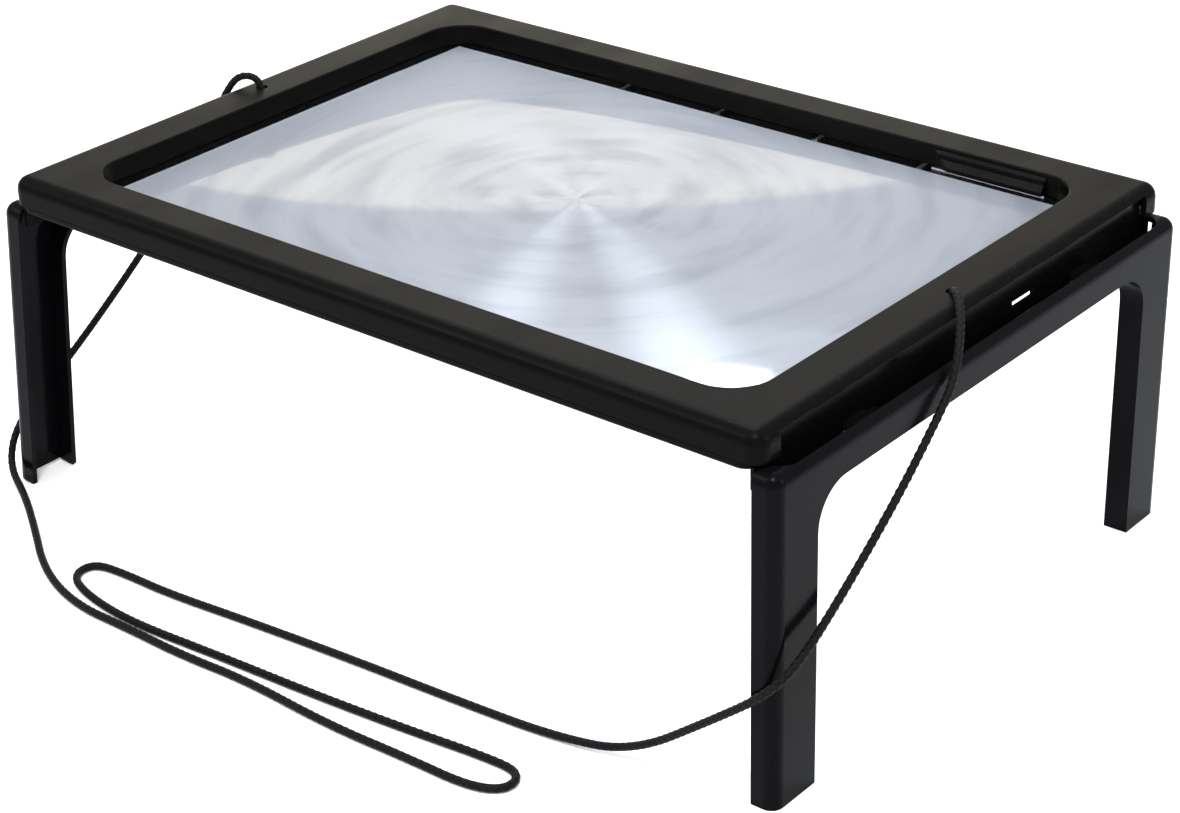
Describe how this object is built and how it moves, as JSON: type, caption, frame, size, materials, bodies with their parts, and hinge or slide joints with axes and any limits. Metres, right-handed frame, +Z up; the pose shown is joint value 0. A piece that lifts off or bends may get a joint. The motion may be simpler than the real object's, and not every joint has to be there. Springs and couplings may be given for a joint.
{
  "type": "low vision magnifier",
  "caption": "Hands-free page magnifier: framed rectangular Fresnel sheet on two fold-under stands, with small lamps, a button-cell box, a slide switch and a neck cord.",
  "frame": {"origin": "centre of the footprint of frame and stands, on the table under the feet", "axes": "+X along the frame's long side, +Y towards the rim that carries the lamps and battery box, +Z up"},
  "size_m": [0.3323, 0.2608, 0.1213],
  "materials": {
    "frame_plastic": "black moulded ABS, fine satin grain on top, glossier sides",
    "stand_plastic": "black moulded ABS, fine satin grain",
    "lens": "clear acrylic sheet with concentric grooves and a plain polished border",
    "screw_steel": "black-oxide self-tapping screws",
    "pin_steel": "ground steel pins",
    "box_plastic": "black moulded ABS, fine grain",
    "contact_nickel": "nickel-plated spring strip",
    "cell_steel": "bright nickel-plated cell cans",
    "switch_plastic": "black nylon",
    "board": "green solder mask",
    "resistor": "tan lacquer",
    "lamp_clear": "water-clear moulded epoxy",
    "red_insulation": "soft red PVC",
    "black_insulation": "soft black PVC",
    "cord_braid": "black braided polyester"
  },
  "bodies": {
    "frame": {"top_frame": "frame_plastic", "bottom_frame": "frame_plastic", "fresnel_lens": "lens", "frame_screws": "screw_steel", "battery_box": "box_plastic", "upper_terminal": "contact_nickel", "upper_link": "contact_nickel", "side_contact": "contact_nickel", "button_cell_1": "cell_steel", "button_cell_2": "cell_steel", "button_cell_3": "cell_steel", "switch_body": "switch_plastic", "lamp_board": "board", "resistor": "resistor", "lamp_leads": "contact_nickel", "lamp_1": "lamp_clear", "lamp_2": "lamp_clear", "lamp_3": "lamp_clear", "lamp_4": "lamp_clear", "red_wire": "red_insulation", "feed_wire": "red_insulation", "black_wire": "black_insulation", "neck_cord": "cord_braid", "right_cord_knot": "cord_braid", "left_cord_knot": "cord_braid"},
    "right_leg_frame": {"right_stand": "stand_plastic", "right_hinge_pins": "pin_steel"},
    "left_leg_frame": {"left_stand": "stand_plastic", "left_hinge_pins": "pin_steel"},
    "cover": {"battery_cover": "box_plastic", "cover_contacts": "contact_nickel"},
    "knob": {"switch_slider": "switch_plastic"}
  },
  "joints": [
    {"name": "right_stand_fold", "type": "hinge", "parent": "frame", "child": "right_leg_frame", "pos_m": [0.15576, 0, 0.101], "axis": [0, 1, 0], "range_deg": [0, 90]},
    {"name": "left_stand_fold", "type": "hinge", "parent": "frame", "child": "left_leg_frame", "pos_m": [-0.14524, 0, 0.101], "axis": [0, -1, 0], "range_deg": [0, 96]},
    {"name": "battery_cover_slide", "type": "slide", "parent": "frame", "child": "cover", "axis": [0, 1, 0], "range_m": [0, 0.018]},
    {"name": "lamp_switch_slide", "type": "slide", "parent": "frame", "child": "knob", "axis": [1, 0, 0], "range_m": [0, 0.002]}
  ]
}
